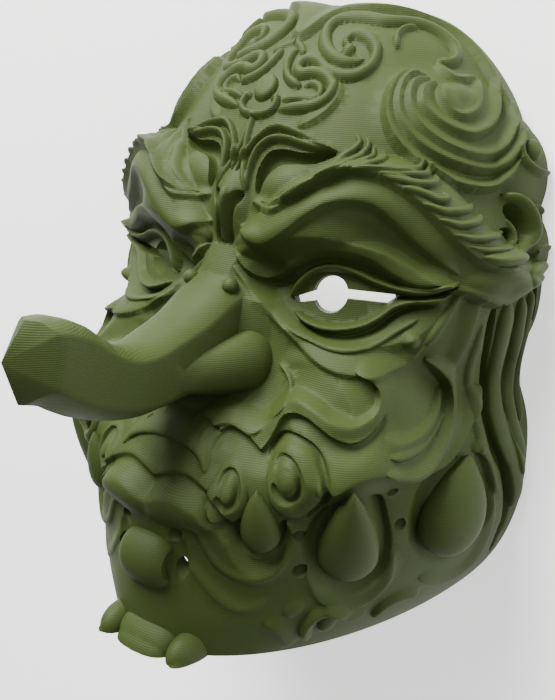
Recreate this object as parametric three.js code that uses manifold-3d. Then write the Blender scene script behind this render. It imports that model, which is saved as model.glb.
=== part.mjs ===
// Tengu mask: one printed shell with a long hooked nose, lying face up. Millimetres.
// z = 0 is the plane of the back rim and +Z points out of the face. +Y runs to the crown
// and +X to the right as seen from the front. The origin is the middle of the rim plane.
//
// Every place on the face is named by two angles in degrees, p across and q up, as seen
// from the origin: their length is the angle away from +Z, so the rim is the 90 degree
// circle. Relief is a height added along that line of sight. Both halves are alike.

import * as THREE from 'three';
import { mergeVertices } from 'three/addons/utils/BufferGeometryUtils.js';
import Module from 'manifold-3d';

const wasm = await Module();
wasm.setup();

// The head
const HEAD_HALF = 75;
const TOP = 101;
const JAW = -101;
const BROW_DEPTH = 75;
const MUZZLE = 33;
const WALL = 4.5;
const OUTER = { cells: 128, tolerance: 1.05 };
const INNER = { cells: 32, tolerance: 0.9 };

// The nose
const NOSE_WALL = 3;
const NOSE_TIP = [0, 6.5, 162];
const WING = { base: [15.2, -8.5, 79], tip: [5.5, -12, 124], half: 10.6, rise: 7.8 };
const WART = { centre: [8.2, 15.3, 80.4], radius: 2.6 };

// Fangs and curls of the lip stand off the face. Half widths, radii and rises are in mm
const FANGS = [
  { base: [18.4, -29.4], tip: [19, -21.2], half: 6.4, rise: 5 },
  { base: [31.2, -36.6], tip: [34.6, -20.2], half: 9.6, rise: 6.5 },
  { base: [51.2, -41.6], tip: [59.4, -28.8], half: 13.2, rise: 8 },
];
const BOSSES = [
  { at: [24.6, -20.6], radii: [8.5, 10], rise: 3.4 },
  { at: [14, -22.9], radii: [6.5, 8.5], rise: 3.4 },
];

// A roll lies across the chin, with a cup in each end, and round leaves stand on the jaw edge
const ROLL = { centre: [0, -70.5, 106], half: 9.5, radii: [9.5, 8], cup: [2.6, 5.5, 4.5] };
const JAW_LEAVES = [
  { centre: [0, -99, 103.5], radii: [15, 9.5, 12.2] },
  { centre: [15, -98, 106], radii: [5.4, 5.6, 10] },
];

// Holes right through the wall
const EYE = { centre: [28.3, 12], radii: [4.1, 4.6] };
const EYE_SLITS = [
  [[19.5, 10.3], [25, 12.8], [25, 10], [20.3, 8.8]],
  [[31, 13.6], [43.5, 13.3], [43.7, 12.6], [42, 11], [31, 11.3]],
];
const VENT_RADIUS = 2.5;
const VENTS = [[5.2, -29.1], [6.2, -33.6], [24.5, -30], [23.5, -36.5], [40.8, -28.5], [41, -36]];
const STRAP_SLOT = [[83.5, 16.5], [85.5, 17], [88.5, 3], [86, 2]];

const smooth = (t) => t * t * (3 - 2 * t);
const clamp01 = (t) => Math.min(Math.max(t, 0), 1);
const degrees = (t) => t * 180 / Math.PI;
const radians = (t) => t * Math.PI / 180;

function direction(p, q) {
  const away = radians(Math.hypot(p, q));
  const turn = Math.atan2(q, p);
  return new THREE.Vector3(
    Math.sin(away) * Math.cos(turn), Math.sin(away) * Math.sin(turn), Math.cos(away));
}

// The plain head: a tube of rounded sections that narrows to the chin, deepens at the
// muzzle and closes over the crown. Negative inside.
function head({ x, y, z }) {
  const chin = Math.min(Math.max(-y - 50, 0) / 50, 1.2);
  const half = HEAD_HALF + Math.exp(-(((y + 50) / 20) ** 2)) - 18 * chin ** 2.4
    - 6 * Math.exp(-(((y + 14) / 13) ** 2));
  const deep = BROW_DEPTH + MUZZLE / (1 + Math.exp((y + 24) / 8));
  const square = 2 + 0.95 * Math.exp(-(((y - 8) / 24) ** 2));
  const crown = y > 0 ? (y / TOP) ** 2.55 : 0;
  return (Math.abs(x) / half) ** square + (Math.max(z, 0) / deep) ** square + crown - 1;
}

function headRadius(ray) {
  let low = 5;
  let high = 190;
  for (let i = 0; i < 24; i++) {
    const middle = (low + high) / 2;
    if (head(ray.clone().multiplyScalar(middle)) < 0) low = middle;
    else high = middle;
  }
  return low;
}

// A rounded swelling or hollow on a turned ellipse
function hill(at, radii, rise, { turn = 0, power = 1.5, flat = 0 } = {}) {
  const cos = Math.cos(radians(turn));
  const sin = Math.sin(radians(turn));
  return (p, q) => {
    const dx = p - at[0];
    const dy = q - at[1];
    const d = Math.hypot((dx * cos + dy * sin) / radii[0], (dy * cos - dx * sin) / radii[1]);
    const t = clamp01((d - flat) / (1 - flat));
    return rise * (1 - t * t) ** power;
  };
}

// A curve through named places, as short straight pieces
function track(places) {
  const curve = new THREE.CatmullRomCurve3(
    places.map(([p, q]) => new THREE.Vector3(p, q, 0)), false, 'catmullrom', 0.5);
  return curve.getPoints((places.length - 1) * 5);
}

function arc([cx, cy], [rx, ry], from, to, pace = 30) {
  const steps = Math.ceil(Math.abs(to - from) / pace);
  return Array.from({ length: steps + 1 }, (_, i) => {
    const turn = radians(from + (to - from) * i / steps);
    return [cx + rx * Math.cos(turn), cy + ry * Math.sin(turn)];
  });
}

// Nearest place on a track: distance, which side of it, and how far along it
function nearest(line, p, q) {
  let best = { distance: Infinity, left: true, along: 0 };
  for (let i = 0; i + 1 < line.length; i++) {
    const a = line[i];
    const dx = line[i + 1].x - a.x;
    const dy = line[i + 1].y - a.y;
    const t = clamp01(((p - a.x) * dx + (q - a.y) * dy) / (dx * dx + dy * dy));
    const ex = p - a.x - t * dx;
    const ey = q - a.y - t * dy;
    const distance = Math.hypot(ex, ey);
    if (distance < best.distance) {
      best = { distance, left: dx * ey - dy * ex > 0, along: (i + t) / (line.length - 1) };
    }
  }
  return best;
}

function ends(along, [start, finish]) {
  const a = start > 0 ? clamp01(along / start) : 1;
  const b = finish > 0 ? clamp01((1 - along) / finish) : 1;
  return Math.sqrt(a * (2 - a)) * Math.sqrt(b * (2 - b));
}

// A rounded ridge along a track, or a groove where the rise is negative
function ridge(places, half, rise, taper = [0.2, 0.2], power = 1.4) {
  const line = track(places);
  return (p, q) => {
    const { distance, along } = nearest(line, p, q);
    const size = Math.max(ends(along, taper), 0.02);
    const u = clamp01(distance / (half * size));
    return rise * size * (1 - u * u) ** power;
  };
}

// A step: its crest is on the track, it falls steeply to the right and gently to the left
function step(places, half, rise, edge = 2.6, taper = [0.15, 0.15]) {
  const line = track(places);
  return (p, q) => {
    const { distance, left, along } = nearest(line, p, q);
    const size = Math.max(ends(along, taper), 0.1);
    if (left) return rise * size * (1 - smooth(clamp01(distance / (half * size))));
    return rise * size * (1 - smooth(clamp01(distance / (edge * size))));
  };
}

// Broad form of the face
const BROW = [[4, 20], [12, 23], [22, 29], [33, 34], [43, 33], [52, 28], [62, 23], [72, 20], [84, 24]];
const form = [
  hill([37, -14], [21, 15], 11, { turn: -30, flat: 0.15 }), // cheek
  hill([28, -18], [16, 14], 6, { power: 1.3, flat: 0.1 }),
  hill([7, -24], [9, 4.5], 4, { power: 1.2 }), // lower lip
  hill([17, -33], [14, 9], -2),
  hill([0, -38], [13, 9], 1), // chin
  ridge(BROW, 10, 10, [0.45, 0.6], 1.2),
  hill([0, 3], [16, 17], 7, { power: 1.2 }), // root of the nose
  hill([30, 12], [22, 11], -7.5, { turn: -6, power: 1, flat: 0.15 }), // eye socket
  hill([29, 11], [12, 7], 2, { power: 1 }),
  hill([12, 14], [8, 6], -4, { power: 1.2 }),
  hill([0, 29], [6, 9], 4),
  hill([70, 55], [14, 14], 5, { power: 1 }), // temple
  hill([44, 56], [20, 16], 3),
  hill([20, 74], [24, 11], 3), // crown
  hill([84, 30], [8, 10], 2, { power: 1.2 }),
];

// Carving that stands out of it
const swirl = (k) => arc([44 + 0.7 * k, 58], [6 + 2.8 * k, 4.5 + 3 * k], 170, 375);
const carving = [
  step([[0, 66], [7, 74.5], [18, 79.5], [33, 82.5], [49, 72], [60.5, 57]], 14, 2.4, 4, [0, 0.2]),
  ...[1, 4].map((k) => step(swirl(k), 8, 2.6, 4)),
  hill([0, 53], [7, 6], 2.4, { power: 1 }), // flower
  hill([15, 66], [8, 6], 1.6, { power: 1 }),
  hill([10, 38], [7, 5], -3, { turn: 30 }),
  // brow, in two rolls, and the hair that sweeps off it
  step([[4, 19], [12, 13.8], [18.5, 17.4], [26, 21.3], [36, 20.6], [46, 15.9], [54, 17.6]], 8, 3.4, 4),
  step([[6, 29.6], [17, 28.2], [27.5, 35.3], [36, 35], [48, 27.4], [60, 21.7], [74.5, 26.8]], 8, 3, 4.5),
  ridge([[55, 23.4], [67, 25], [75.2, 28.6], [72.4, 37], [63.2, 42.2]], 4.5, 3.4, [0.3, 0.25]),
  // lids
  ridge([[18.8, 10], [23.6, 16.8], [33, 17.6], [43, 14.5], [54, 17]], 3.2, 2.2, [0.1, 0.25]),
  ridge([[20.4, 7], [27.5, 4], [36.5, 5.5], [43, 10.6], [54, 14.4]], 3.2, 2.2, [0.15, 0.25]),
  // cheek ridge, its hook and the fold behind it
  step([[4.5, 15], [12.5, 8.3], [21.5, 1.4], [30.5, -2.4], [41, -3.3], [50, 2.5]], 7, 2.8, 4, [0.3, 0.2]),
  ridge([[38, -4.8], [40.3, -8], [35.5, -12.5], [27.5, -9.8], [19.5, -13], [9, -13.3], [4, -15]], 3.4, 3.4),
  hill([34, -7.5], [5.5, 3.4], -2, { power: 1 }),
  step([[50.2, -2], [56, -8.5], [57.4, -17.2], [51, -22.6], [43, -22.4]], 8, 3.4, 4.5),
  step([[28, -22], [38, -20.3], [45, -25], [53, -28], [61, -23.3], [69, -16.5]], 10, 3, 4, [0.1, 0.1]),
  // side locks, parted from the cheek by a groove
  ridge([[67.4, 12], [69, -6], [69, -19], [67, -32], [67, -43], [59, -63]], 4, -2.2, [0.1, 0.2]),
  ridge([[76, 13], [79, -10], [74, -30], [72, -45]], 4.5, 2.6, [0.1, 0.15]),
  // mouth, lip and chin
  ...FANGS.map(({ base, half }) => hill(base, [0.9 * half, half], -1.6, { power: 1 })),
  step([[21.1, -32.2], [18.2, -33.5], [15.2, -31.6], [13, -27.2], [10.1, -24], [6.7, -22.8], [0, -24.4]],
    6, 2.4, 1.6, [0.2, 0]),
];

function outside(p, q) {
  const across = Math.abs(p);
  return [...form, ...carving].reduce((sum, part) => sum + part(across, q), 0);
}

// The inner face keeps its distance square to the wall, so it is set deeper on a slope
function inside(p, q) {
  const shape = (a, b) => form.reduce((sum, part) => sum + part(Math.abs(a), b), 0);
  const reach = (a, b) => headRadius(direction(a, b)) + shape(a, b);
  const slope = Math.hypot(reach(p + 2, q) - reach(p - 2, q), reach(p, q + 2) - reach(p, q - 2))
    / radians(4) / reach(p, q);
  return shape(p, q) - WALL * Math.min(Math.hypot(1, slope), 2.4);
}

function surface([p, q], lift = 0) {
  const ray = direction(p, q);
  return ray.multiplyScalar(headRadius(ray) + outside(p, q) + lift);
}

// Square grid drawn out to a disc, so that the rim is one even ring of places
function discPoint(a, b) {
  if (a === 0 && b === 0) return [0, 0];
  const [r, turn] = Math.abs(a) > Math.abs(b)
    ? [a, Math.PI / 4 * b / a]
    : [b, Math.PI / 2 - Math.PI / 4 * a / b];
  return [r * Math.cos(turn), r * Math.sin(turn)];
}

// Splits the square grid into right triangles, and splits them again only where the surface
// leaves the long side by more than the tolerance. A corner is [i, j]; c has the right angle.
function fitTriangles(cells, pointAt, tolerance) {
  const error = new Map();
  const levels = [];
  const key = ([i, j]) => j * (cells + 1) + i;
  const middle = (a, b) => [(a[0] + b[0]) / 2, (a[1] + b[1]) / 2];
  const onGrid = (a, b) => Number.isInteger((a[0] + b[0]) / 2) && Number.isInteger((a[1] + b[1]) / 2);
  const corners = [[0, 0], [cells, 0], [cells, cells], [0, cells]];
  const roots = corners.map((a, n) => [a, corners[(n + 1) % 4], [cells / 2, cells / 2]]);

  function collect(a, b, c, depth) {
    if (!onGrid(a, b)) return;
    (levels[depth] ??= []).push([a, b, c]);
    const m = middle(a, b);
    collect(c, a, m, depth + 1);
    collect(b, c, m, depth + 1);
  }
  roots.forEach(([a, b, c]) => collect(a, b, c, 0));
  for (const level of levels.reverse()) {
    for (const [a, b, c] of level) {
      const m = middle(a, b);
      const chord = pointAt(a).clone().add(pointAt(b)).multiplyScalar(0.5);
      const found = [pointAt(m).distanceTo(chord), error.get(key(m)) ?? 0];
      if (onGrid(a, c)) found.push(error.get(key(middle(a, c))) ?? 0);
      if (onGrid(b, c)) found.push(error.get(key(middle(b, c))) ?? 0);
      error.set(key(m), Math.max(...found));
    }
  }

  const triangles = [];
  function keep(a, b, c) {
    const m = middle(a, b);
    if (onGrid(a, b) && error.get(key(m)) > tolerance) {
      keep(c, a, m);
      keep(b, c, m);
    } else {
      triangles.push([a, b, c].map(key));
    }
  }
  roots.forEach(([a, b, c]) => keep(a, b, c));
  return triangles;
}

function solid(points, triangles) {
  const geometry = new THREE.BufferGeometry();
  geometry.setAttribute('position', new THREE.Float32BufferAttribute(points.flat(), 3));
  geometry.setIndex(triangles.flat());
  return toManifold(geometry);
}

function toManifold(geometry) {
  geometry.deleteAttribute('normal');
  geometry.deleteAttribute('uv');
  const merged = mergeVertices(geometry, 1e-4);
  return new wasm.Manifold(new wasm.Mesh({
    numProp: 3,
    vertProperties: new Float32Array(merged.attributes.position.array),
    triVerts: new Uint32Array(merged.index.array),
  }));
}

// The dome over the rim plane, closed by a flat face at z = floor. It stops a little below
// the jaw edge, where the jaw is cut off flat
function dome(cells, tolerance, height, floor) {
  const points = [];
  const half = cells / 2;
  for (let j = 0; j <= cells; j++) {
    for (let i = 0; i <= cells; i++) {
      const n = j * (cells + 1) + i;
      if (i > half) {
        const twin = points[j * (cells + 1) + cells - i];
        points[n] = twin.clone().setX(-twin.x);
        continue;
      }
      const [u, v] = discPoint(i / half - 1, j / half - 1);
      const ray = direction(90 * u, 90 * v);
      const reach = Math.min(headRadius(ray), (11 - JAW) / Math.max(-ray.y, 1e-6));
      points[n] = ray.multiplyScalar(reach + height(90 * u, 90 * v));
      if (i === 0 || j === 0 || j === cells) points[n].z = 0;
      if (i === half) points[n].x = 0;
    }
  }
  const triangles = fitTriangles(cells, ([i, j]) => points[j * (cells + 1) + i], tolerance);
  const column = (n) => n % (cells + 1);
  const row = (n) => Math.floor(n / (cells + 1));
  const onEdge = (m, n) => [column, row].some((f) => f(m) === f(n) && (f(m) === 0 || f(m) === cells));
  const rim = triangles.flatMap(([a, b, c]) => [[a, b], [b, c], [c, a]]).filter(([m, n]) => onEdge(m, n));
  const lower = new Map();
  for (const [m] of rim) {
    lower.set(m, floor < 0 ? points.push(points[m].clone().setZ(floor)) - 1 : m);
  }
  const centre = points.push(new THREE.Vector3(0, 0, floor)) - 1;
  for (const [m, n] of rim) {
    if (floor < 0) triangles.push([m, lower.get(m), n], [lower.get(m), lower.get(n), n]);
    triangles.push([centre, lower.get(n), lower.get(m)]);
  }
  return solid(points.map((point) => point.toArray()), triangles);
}

// A solid through rings of points, each ring closed by a fan at the ends
function loft(rings, tip) {
  const count = rings[0].length;
  const points = rings.flat();
  const triangles = [];
  for (let k = 0; k + 1 < rings.length; k++) {
    for (let n = 0; n < count; n++) {
      const m = (n + 1) % count;
      const [a, b] = [k * count + n, k * count + m];
      triangles.push([a, b, a + count], [b, b + count, a + count]);
    }
  }
  const fan = (ring, point, first, flip) => {
    const centre = points.push(point) - 1;
    ring.forEach((_, n) => {
      const [a, b] = [first + n, first + (n + 1) % count];
      triangles.push(flip ? [centre, b, a] : [centre, a, b]);
    });
  };
  const middle = (ring) => [0, 1, 2].map((i) => ring.reduce((s, point) => s + point[i], 0) / count);
  fan(rings[0], middle(rings[0]), 0, true);
  fan(rings.at(-1), tip ?? middle(rings.at(-1)), (rings.length - 1) * count, false);
  return solid(points, triangles);
}

// Nose stations from the face to the tip: top line, bottom line, half width, and how far the
// middle runs ahead of the sides
const NOSE = [
  { top: [24, 60], bottom: [-20, 60], half: 13 },
  { top: [22, 70], bottom: [-22, 70], half: 13 },
  { top: [15.5, 83], bottom: [-20.5, 82], half: 12 },
  { top: [9, 94], bottom: [-20, 92], half: 11 },
  { top: [5.3, 104], bottom: [-20.5, 103], half: 10.4 },
  { top: [2.8, 112], bottom: [-21, 113], half: 10 },
  { top: [2.6, 119], bottom: [-19.8, 122], half: 10 },
  { top: [5, 126], bottom: [-17.5, 131], half: 10 },
  { top: [9.5, 132.5], bottom: [-14, 140.5], half: 10 },
  { top: [13.4, 138], bottom: [-11.5, 145.5], half: 10 },
  { top: [16, 144.5], bottom: [-8, 150.5], half: 9.6, lead: 1 },
  { top: [16.6, 149], bottom: [-6.5, 152], half: 8.6, lead: 5 },
];

// Half of a section, from the flat top face round to the keel. Across, then 1 top to -1 bottom
const SECTION = [
  [0.55, 0.97], [0.96, 0.74], [1, 0.6], [1, -0.48], [0.92, -0.62], [0.25, -1],
];

function noseRing({ top, bottom, half, lead = 0 }, inset) {
  const span = Math.hypot(top[0] - bottom[0], top[1] - bottom[1]) / 2;
  const middle = [(top[0] + bottom[0]) / 2, (top[1] + bottom[1]) / 2];
  const place = ([x, v]) => [
    x * (half - inset),
    middle[0] + v * (top[0] - bottom[0]) / 2 * (1 - inset / span),
    middle[1] + v * (top[1] - bottom[1]) / 2 * (1 - inset / span) + lead * (1 - Math.abs(x)),
  ];
  const right = SECTION.map(place);
  const left = SECTION.map(([x, v]) => place([-x, v])).reverse();
  return [...right.reverse(), ...left.reverse()];
}

function ball(centre, radii, across = 14, down = 8) {
  const geometry = new THREE.SphereGeometry(1, across, down);
  geometry.scale(...radii);
  geometry.translate(...centre);
  return toManifold(geometry);
}

// Rings that grow as a ball does behind the start and shrink to a point at the end
function teardrop(start, end, out, half, lift, fullness, thinning) {
  const along = end.clone().sub(start);
  const length = along.length();
  along.normalize();
  out.addScaledVector(along, -out.dot(along)).normalize();
  const across = along.clone().cross(out);
  const rings = [-0.97, -0.75, -0.35, 0, 0.25, 0.5, 0.75, 0.93].map((t) => {
    const size = t < 0 ? Math.sqrt(1 - t * t) : 1 - t ** fullness;
    const centre = start.clone().addScaledVector(along, t < 0 ? t * half : t * length);
    return Array.from({ length: 10 }, (_, n) => {
      const turn = 2 * Math.PI * n / 10;
      return centre.clone().addScaledVector(across, -half * size * Math.cos(turn))
        .addScaledVector(out, lift(Math.sin(turn)) * size ** thinning).toArray();
    });
  });
  return loft(rings);
}

// A fang stands off the face, round at its base, and its tip is a little clear of the face
function fang({ base, tip, half, rise }, side) {
  const out = direction(side * base[0], base[1]);
  const end = surface([side * tip[0], tip[1]]).addScaledVector(out, 2.5);
  const lift = (t) => t * (t > 0 ? rise : 5);
  return teardrop(surface([side * base[0], base[1]]), end, out, half, lift, 1.9, 0.7);
}

// A wing of the nose swells out of its side
function wing({ base, tip, half, rise }, side) {
  const place = ([x, y, z]) => new THREE.Vector3(side * x, y, z);
  return teardrop(place(base), place(tip), place([1, 0, 0]), half, (t) => t * rise, 1.1, 1);
}

// Rings across the chin, a little wider in the middle, and a cup cut into each end
function roll() {
  const [x, y, z] = ROLL.centre;
  const rings = [-1, -0.8, -0.45, 0, 0.45, 0.8, 1].map((t) => {
    const size = Math.sqrt(1 - (0.86 * t) ** 4);
    return Array.from({ length: 14 }, (_, n) => {
      const turn = 2 * Math.PI * n / 14;
      return [x + t * ROLL.half,
        y + ROLL.radii[0] * size * Math.cos(turn), z + ROLL.radii[1] * size * Math.sin(turn)];
    });
  });
  const cup = (side) => ball([x + side * (ROLL.half + 0.8), y, z + 1], ROLL.cup, 10, 6);
  return loft(rings).subtract(cup(1)).subtract(cup(-1));
}

// A round boss laid flat on the face
function boss({ at, radii, rise }, side) {
  const place = [side * at[0], at[1]];
  const geometry = new THREE.SphereGeometry(1, 14, 8);
  geometry.rotateX(Math.PI / 2);
  geometry.scale(...radii, rise + 3);
  geometry.applyQuaternion(
    new THREE.Quaternion().setFromUnitVectors(new THREE.Vector3(0, 0, 1), direction(...place)));
  geometry.translate(...surface(place, -3).toArray());
  return toManifold(geometry);
}

// A cutter that follows an outline in p and q outward along the lines of sight
function through(outline, near, far) {
  const shape = outline.map(([p, q]) => new THREE.Vector2(p, q));
  if (THREE.ShapeUtils.isClockWise(shape)) shape.reverse();
  const count = shape.length;
  const place = (reach) => shape.map(({ x, y }) => direction(x, y).multiplyScalar(reach).toArray());
  const triangles = [];
  for (const [a, b, c] of THREE.ShapeUtils.triangulateShape(shape, [])) {
    triangles.push([a, c, b], [a + count, b + count, c + count]);
  }
  for (let n = 0; n < count; n++) {
    const m = (n + 1) % count;
    triangles.push([n, m, n + count], [m, m + count, n + count]);
  }
  return solid([...place(near), ...place(far)], triangles);
}

function both(make) {
  return [1, -1].map(make);
}

const mirrored = (outline, side) => outline.map(([p, q]) => [side * p, q]);

let mask = dome(OUTER.cells, OUTER.tolerance, outside, 0);
mask = mask.add(loft(NOSE.map((station) => noseRing(station, 0)), NOSE_TIP));
for (const side of [1, -1]) {
  mask = mask.add(wing(WING, side));
  const [x, y, z] = WART.centre;
  mask = mask.add(ball([side * x, y, z], [WART.radius, WART.radius, WART.radius], 8, 6));
  for (const item of FANGS) mask = mask.add(fang(item, side));
  for (const item of BOSSES) mask = mask.add(boss(item, side));
  for (const { centre: [across, ...rest], radii } of JAW_LEAVES) {
    if (side > 0 || across > 0) mask = mask.add(ball([side * across, ...rest], radii));
  }
}
mask = mask.add(roll());

mask = mask.subtract(dome(INNER.cells, INNER.tolerance, inside, -10));
mask = mask.subtract(loft(NOSE.slice(0, 11).map((station) => noseRing(station, NOSE_WALL))));

const jawCut = new THREE.BoxGeometry(400, 200, 400);
jawCut.translate(0, JAW - 100, 0);
mask = mask.subtract(toManifold(jawCut));

const eyeOutline = arc(EYE.centre, EYE.radii, 0, 330);
const cutters = both((side) => [
  through(mirrored(eyeOutline, side), 40, 130),
  ...EYE_SLITS.map((slit) => through(mirrored(slit, side), 40, 130)),
  through(mirrored(STRAP_SLOT, side), 60, 95),
  ...VENTS.map(([p, q]) => {
    const reach = degrees(VENT_RADIUS / 120);
    return through(mirrored(arc([p, q], [reach, reach], 0, 315, 45), side), 70, 140);
  }),
]).flat();
for (const cutter of cutters) mask = mask.subtract(cutter);

const result = mask.getMesh();
const geometry = new THREE.BufferGeometry();
geometry.setAttribute('position', new THREE.Float32BufferAttribute(result.vertProperties, 3));
geometry.setIndex(new THREE.Uint32BufferAttribute(result.triVerts, 1));
geometry.computeVertexNormals();

const green = new THREE.MeshStandardMaterial({ color: 0x56663a, roughness: 0.6, metalness: 0 });
const shell = new THREE.Mesh(geometry, green);
shell.name = 'mask';

const tengu = new THREE.Group();
tengu.add(shell);
export default tengu;
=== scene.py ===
# %% [markdown]
# # A tengu mask
#
# The mask is one printed shell of olive green plastic: a face with a long hooked nose, heavy
# brows, fangs and scrolls carved all over. It could be sculpted by hand with brushes. Here it
# is shaped by formula instead, so that every form has a size and both halves stay alike.

# %% The frame
import bpy
import math
import numpy as np
from mathutils import Matrix, Vector


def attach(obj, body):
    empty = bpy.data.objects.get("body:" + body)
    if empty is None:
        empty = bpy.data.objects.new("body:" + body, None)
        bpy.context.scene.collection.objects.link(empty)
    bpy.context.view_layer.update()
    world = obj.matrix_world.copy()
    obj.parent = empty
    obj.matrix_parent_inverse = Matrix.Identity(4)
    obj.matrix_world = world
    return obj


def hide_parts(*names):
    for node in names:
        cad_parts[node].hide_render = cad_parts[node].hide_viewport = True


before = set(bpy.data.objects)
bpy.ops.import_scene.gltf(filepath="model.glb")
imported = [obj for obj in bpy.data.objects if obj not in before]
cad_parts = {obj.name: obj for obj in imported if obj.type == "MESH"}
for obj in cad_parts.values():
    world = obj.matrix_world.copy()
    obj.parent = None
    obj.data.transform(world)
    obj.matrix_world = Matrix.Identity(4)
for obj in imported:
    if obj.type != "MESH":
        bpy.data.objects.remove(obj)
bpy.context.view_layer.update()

MM = 0.001

# %% [markdown]
# ## Camera, light and floor
#
# The mask lies on the back rim, so a camera that sees the face as the photo does looks
# down on it from in front and from the right. Its place was solved from the eye holes, the rim
# and the jaw edge. The lights are large and soft and come from the crown side.

# %% The camera
CAMERA_PLACE = Vector((224.6, 95.1, 333.5)) * MM
CAMERA_RIGHT = Vector((0.782, 0.0371, -0.6222))
CAMERA_AHEAD = Vector((-0.5879, -0.288, -0.756))
# The first two in picture dots, the sensor in mm
FOCAL_LENGTH = 1100
PICTURE_HEIGHT = 700
SENSOR = 36


def add_camera():
    """Stands where the photo was taken from, and looks the same way."""
    ahead = CAMERA_AHEAD.normalized()
    right = (CAMERA_RIGHT - ahead * CAMERA_RIGHT.dot(ahead)).normalized()
    up = right.cross(ahead)
    bpy.ops.object.camera_add()
    camera = bpy.context.object
    turn = Matrix((right, up, -ahead)).transposed()
    camera.matrix_world = Matrix.Translation(CAMERA_PLACE) @ turn.to_4x4()
    camera.data.sensor_width = SENSOR
    camera.data.sensor_fit = 'AUTO'
    camera.data.lens = FOCAL_LENGTH / PICTURE_HEIGHT * SENSOR
    camera.data.clip_start = 0.01
    bpy.context.scene.camera = camera
    return camera


camera = add_camera()
print("camera", [round(v, 3) for v in camera.location])


# %% Colours and nodes
def paint(code):
    """An sRGB hex value as linear red, green, blue and alpha."""
    parts = [int(code[i:i + 2], 16) / 255 for i in (0, 2, 4)]
    return [c / 12.92 if c <= 0.04045 else ((c + 0.055) / 1.055) ** 2.4 for c in parts] + [1.0]


def add_node(tree, kind, settings=None, **links):
    """A node with its settings; each link names an input and holds a value or an output."""
    node = tree.nodes.new(kind)
    for name, value in (settings or {}).items():
        setattr(node, name, value)
    for name, value in links.items():
        key = int(name[1:]) if name[0] == "i" and name[1:].isdigit() else name.replace("_", " ")
        if isinstance(value, bpy.types.NodeSocket):
            tree.links.new(value, node.inputs[key])
        else:
            node.inputs[key].default_value = value
    return node


# %% The floor
FLOOR_SIZE = 8.0
FLOOR_GLOW = 0.9


def add_floor():
    """A wide sheet of matt white paper."""
    bpy.ops.mesh.primitive_plane_add(size=FLOOR_SIZE)
    floor = bpy.context.object
    floor.name = "studio_floor"
    material = bpy.data.materials.new("matt_white_paper")
    material.use_nodes = True
    shader = material.node_tree.nodes["Principled BSDF"]
    shader.inputs["Base Color"].default_value = paint("fafaf8")
    shader.inputs["Roughness"].default_value = 0.9
    shader.inputs["Specular IOR Level"].default_value = 0.1
    # It glows, as paper on a light table does
    shader.inputs["Emission Color"].default_value = paint("ffffff")
    shader.inputs["Emission Strength"].default_value = FLOOR_GLOW
    floor.data.materials.append(material)


add_floor()


# %% The lights
# Names, places and sizes in metres, and power in watts
SOFTBOXES = [("crown_softbox", (-0.32, 1.25, 0.68), 0.9, 82), ("side_softbox", (1.1, 0.5, 0.6), 0.6, 4)]
HOLLOW_LAMP = ("hollow_lamp", (0, 0.03, 0.035), 0.008, 0.14)
FACE_MIDDLE = Vector((0, 0, 0.06))
AIR_GLOW = 0.42


def add_light(kind, name, place, power):
    """A light that is turned to the middle of the face."""
    bpy.ops.object.light_add(type=kind, location=place)
    light = bpy.context.object
    light.name = name
    light.data.energy = power
    light.rotation_euler = (FACE_MIDDLE - Vector(place)).to_track_quat('-Z', 'Y').to_euler()
    return light


def add_air():
    """Even white light from all sides."""
    world = bpy.data.worlds.new("studio_air")
    bpy.context.scene.world = world
    world.use_nodes = True
    background = world.node_tree.nodes["Background"]
    background.inputs["Color"].default_value = paint("ffffff")
    background.inputs["Strength"].default_value = AIR_GLOW


for name, place, size, power in SOFTBOXES:
    add_light('AREA', name, place, power).data.size = size
# A small lamp in the hollow keeps what is seen through the eye slits as pale as the floor
name, place, size, power = HOLLOW_LAMP
add_light('POINT', name, place, power).data.shadow_soft_size = size
add_air()
bpy.ops.object.select_all(action='DESELECT')

# %% [markdown]
# ## Naming places on the face
#
# A face wraps round, so flat drawings don't fit it. Each place is named by two angles in
# degrees, p across and q up, seen from the middle of the rim plane. The rim is the circle
# of 90 degrees. A height in millimetres is added along that line of sight.

# %% The plain head
# Half width, top, bottom, depth at the brow and what the muzzle adds, in mm
HEAD_HALF = 75.0
CROWN_TOP = 101.0
JAW_EDGE = -101.0
BROW_DEPTH = 75.0
MUZZLE = 33.0
# The dome runs on a little past the jaw edge, where it is cut off flat
JAW_STOP = 112.0
WALL = 5.0
CELLS = 800


def direction(p, q):
    """The line of sight to a place on the face."""
    away = np.radians(np.hypot(p, q))
    turn = np.arctan2(q, p)
    return np.stack([np.sin(away) * np.cos(turn), np.sin(away) * np.sin(turn), np.cos(away)], -1)


def head(x, y, z):
    """Negative inside a tube of rounded sections that closes over the crown."""
    # The tube is fullest at the cheeks, has a waist below the eyes and narrows to the chin
    chin = np.minimum(np.maximum(-y - 50, 0) / 50, 1.2)
    half = (HEAD_HALF + np.exp(-((y + 50) / 20) ** 2) - 18 * chin ** 2.4
            - 6 * np.exp(-((y + 14) / 13) ** 2))
    # It deepens at the muzzle, and its sections are squarest at the eyes
    deep = BROW_DEPTH + MUZZLE / (1 + np.exp((y + 24) / 8))
    square = 2 + 0.95 * np.exp(-((y - 8) / 24) ** 2)
    crown = np.where(y > 0, (np.maximum(y, 1e-9) / CROWN_TOP) ** 2.55, 0)
    return (np.abs(x) / half) ** square + (np.maximum(z, 0) / deep) ** square + crown - 1


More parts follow.
